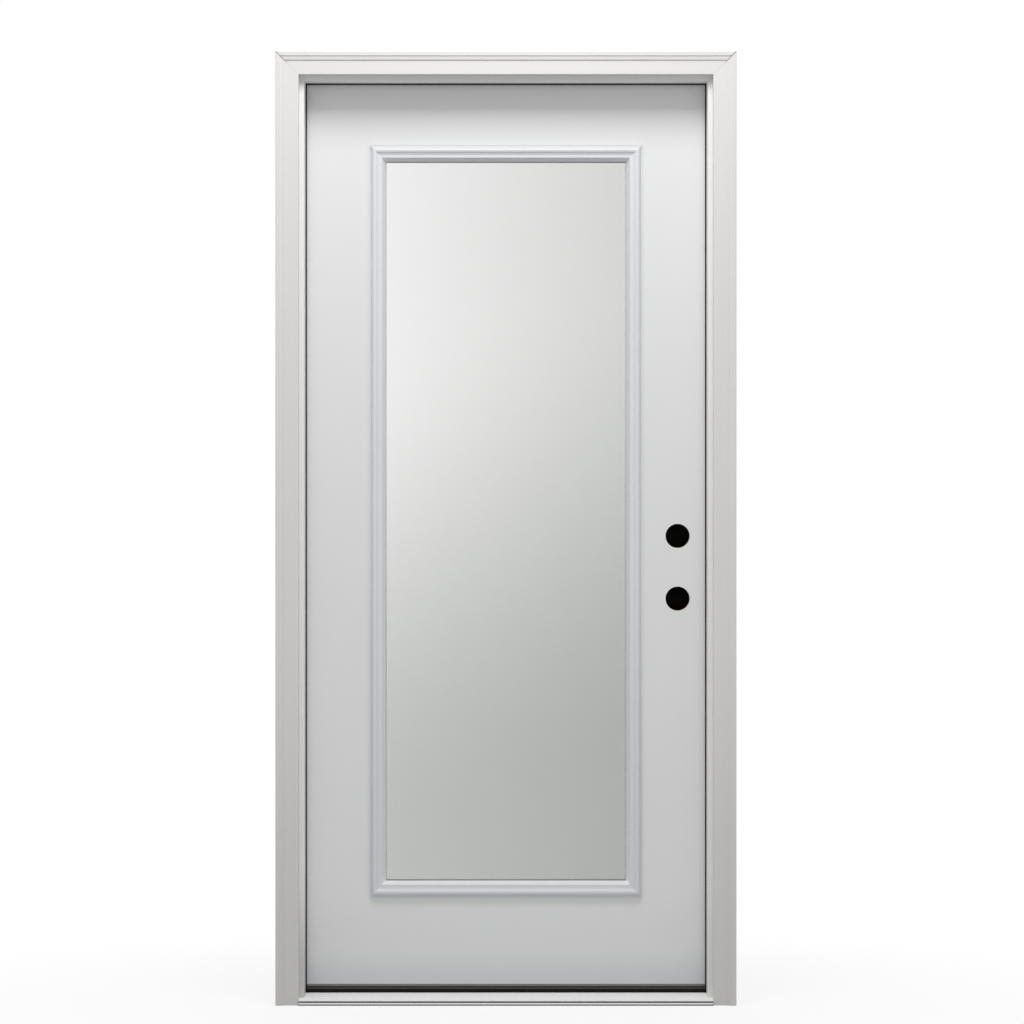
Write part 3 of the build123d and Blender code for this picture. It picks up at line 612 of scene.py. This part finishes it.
def screw_plugs(material):
    """White plugs over the screws of the indoor lite frame, on its flat beside the glass."""
    dome = [(PLUG_RADIUS * out, PLUG_PROUD * up) for out, up in PLUG_DOME]
    back = [(PLUG_RADIUS, -PLUG_SUNK), (0.0, -PLUG_SUNK)]
    plug = turned_shape("plug", dome + back, PLUG_SIDES)
    low = INNER_LITE_LOW + Vector((PLUG_INSET, 0, PLUG_INSET))
    high = INNER_LITE_HIGH - Vector((PLUG_INSET, 0, PLUG_INSET))
    corner = PLUG_CORNER_SPACE
    places = [
        (x, z) for x in (low.x, high.x)
        for z in spaced(low.z + corner, high.z - corner, PLUG_COUNT_UP)
    ]
    places += [
        (x, z) for z in (low.z, high.z)
        for x in spaced(low.x + corner, high.x - corner, PLUG_COUNT_ACROSS)
    ]
    mesh = bmesh.new()
    for x, z in places:
        copy_to(mesh, plug, Vector((x, INNER_SKIN_HIGH.y + PLUG_SEAT, z)), (0, 1, 0))
    new_piece("lite_screw_plugs", mesh, "door", material)


COVER_SIDES = 48
COVER_SINK = 0.004
COVER_LIP = 0.0012
COVER_WALL = 0.0014
COVER_DEPTH = 0.008
COVER_FIT = 0.0002


def bore_shade_covers(material):
    """A thin black cover pressed into the indoor end of each cross bore, whose black is painted
    shade standing in for the dark inside a deep bore.
    """
    outer = BORE_RADIUS - COVER_FIT
    inner = outer - COVER_WALL
    cover = turned_shape("cover", (
        (0.0, 0.0), (inner - COVER_LIP, 0.0), (inner, COVER_LIP), (outer, COVER_LIP),
        (outer, -COVER_DEPTH), (inner, -COVER_DEPTH), (inner, -COVER_WALL), (0.0, -COVER_WALL),
    ), COVER_SIDES)
    # Each cover's black is painted shade in the bore
    for name, centre in BORES.items():
        mesh = bmesh.new()
        place = Vector((centre.x, INNER_SKIN_HIGH.y - COVER_SINK, centre.z))
        copy_to(mesh, cover, place, (0, 1, 0))
        new_piece(name.replace("bore", "cover"), mesh, "door", material)


def build_pieces(finishes):
    """Makes the screws, the plugs and the covers."""
    screw = screw_shape()
    hinge_screws(screw, finishes["hinge_steel"])
    cap_screws(screw, finishes["hinge_steel"])
    screw_plugs(finishes["lite_frame_plastic"])
    bore_shade_covers(finishes["bore_shade_cover"])


# Studio

FLOOR_SIZE = 60.0
FLOOR_SIDES = 96
FLOOR_SEEN = (0.92, 0.92, 0.92)
FLOOR_BOUNCE = (0.58, 0.58, 0.58)
FLOOR_GLOW_NEAR = 0.8
FLOOR_FADE = (0.5, 1.8)
AMBIENT = 0.56
CAMERA_PLACE = (0.0134, -9.432, 1.088)
CAMERA_LENS = 150.0
CAMERA_REACH = 200.0


def seen_rays(tree):
    """One for rays that look at the background, straight, mirrored or through glass, and nothing
    for the light that reaches a matt surface."""
    path = tree.nodes.new("ShaderNodeLightPath")
    total = path.outputs["Is Camera Ray"]
    for name in ("Is Glossy Ray", "Is Transmission Ray"):
        total = maths(tree, "MAXIMUM", total, path.outputs[name])
    straight = maths(tree, "LESS_THAN", path.outputs["Diffuse Depth"], 0.5)
    return maths(tree, "MULTIPLY", total, straight)


def studio_world():
    """White to look at, and a plain soft fill on the object."""
    world = bpy.data.worlds.new("studio")
    bpy.context.scene.world = world
    world.use_nodes = True
    tree = world.node_tree
    background = tree.nodes["Background"]
    background.inputs["Color"].default_value = (1, 1, 1, 1)
    strength = tree.nodes.new("ShaderNodeMapRange")
    strength.inputs["To Min"].default_value = AMBIENT
    strength.inputs["To Max"].default_value = 1.0
    tree.links.new(seen_rays(tree), strength.inputs["Value"])
    tree.links.new(strength.outputs["Result"], background.inputs["Strength"])


def floor_paint():
    """Pale paint with the object's shadow in it near the door, plain white further off."""
    material = bpy.data.materials.new("studio_floor")
    material.use_nodes = True
    tree = material.node_tree
    tree.nodes.remove(tree.nodes["Principled BSDF"])
    looked_at = seen_rays(tree)
    tone = tree.nodes.new("ShaderNodeMix")
    tone.data_type = "RGBA"
    tone.inputs["A"].default_value = FLOOR_BOUNCE + (1.0,)
    tone.inputs["B"].default_value = FLOOR_SEEN + (1.0,)
    paint = tree.nodes.new("ShaderNodeBsdfDiffuse")
    glow = tree.nodes.new("ShaderNodeEmission")
    mix = tree.nodes.new("ShaderNodeMixShader")
    coordinates = tree.nodes.new("ShaderNodeTexCoord")
    distance = tree.nodes.new("ShaderNodeVectorMath")
    distance.operation = "LENGTH"
    fade = tree.nodes.new("ShaderNodeMapRange")
    fade.interpolation_type = "SMOOTHSTEP"
    fade.inputs["From Min"].default_value = FLOOR_FADE[0]
    fade.inputs["From Max"].default_value = FLOOR_FADE[1]
    fade.inputs["To Min"].default_value = FLOOR_GLOW_NEAR
    tree.links.new(coordinates.outputs["Object"], distance.inputs[0])
    tree.links.new(distance.outputs["Value"], fade.inputs["Value"])
    tree.links.new(looked_at, tone.inputs["Factor"])
    tree.links.new(tone.outputs["Result"], paint.inputs["Color"])
    tree.links.new(maths(tree, "MULTIPLY", fade.outputs["Result"], looked_at), mix.inputs["Fac"])
    tree.links.new(paint.outputs["BSDF"], mix.inputs[1])
    tree.links.new(glow.outputs["Emission"], mix.inputs[2])
    tree.links.new(mix.outputs["Shader"], tree.nodes["Material Output"].inputs["Surface"])
    return material


def studio_floor():
    """A pale floor that keeps the object's soft shadow."""
    mesh = bmesh.new()
    bmesh.ops.create_circle(mesh, cap_ends=True, segments=FLOOR_SIDES, radius=FLOOR_SIZE)
    floor = bpy.data.objects.new("studio_floor", shape_of(mesh, "studio_floor"))
    bpy.context.scene.collection.objects.link(floor)
    floor.data.materials.append(floor_paint())


def softbox(name, place, target, width, height, power, mirrored):
    """A soft lamp aimed at a point, with or without an image of it in the glass."""
    light = bpy.data.lights.new(name, "AREA")
    light.shape = "RECTANGLE"
    light.size = width
    light.size_y = height
    light.energy = power
    lamp = bpy.data.objects.new(name, light)
    bpy.context.scene.collection.objects.link(lamp)
    lamp.location = place
    aim = Vector(target) - Vector(place)
    lamp.rotation_euler = aim.to_track_quat("-Z", "Y").to_euler()
    lamp.visible_camera = False
    lamp.visible_glossy = mirrored
    lamp.visible_transmission = mirrored


def studio_lights():
    """A key above and in front of the door, a weak fill from the front, and a lamp behind it."""
    softbox(
        "key", place=(0.0, -1.4, 3.47), target=(0.0, 0.0, 1.4),
        width=1.3, height=0.9, power=37.0, mirrored=True,
    )
    softbox(
        "fill", place=(0.0, -3.4, 1.7), target=(0.0, 0.0, 1.3),
        width=1.24, height=1.24, power=4.8, mirrored=False,
    )
    softbox(
        "back", place=(0.0, 3.6, 2.6), target=(0.0, 0.0, 1.1),
        width=1.6, height=1.6, power=30.0, mirrored=False,
    )


def studio_camera():
    """Square on to the outdoor face, at chest height, from across the room."""
    camera = bpy.data.cameras.new("camera")
    camera.sensor_width = 36.0
    camera.lens = CAMERA_LENS
    camera.clip_end = CAMERA_REACH
    view = bpy.data.objects.new("camera", camera)
    bpy.context.scene.collection.objects.link(view)
    view.location = CAMERA_PLACE
    view.rotation_euler = (math.radians(90), 0, 0)
    bpy.context.scene.camera = view


build_pieces(dress_nodes())
studio_world()
studio_floor()
studio_lights()
studio_camera()
bpy.context.scene.view_settings.view_transform = "Standard"
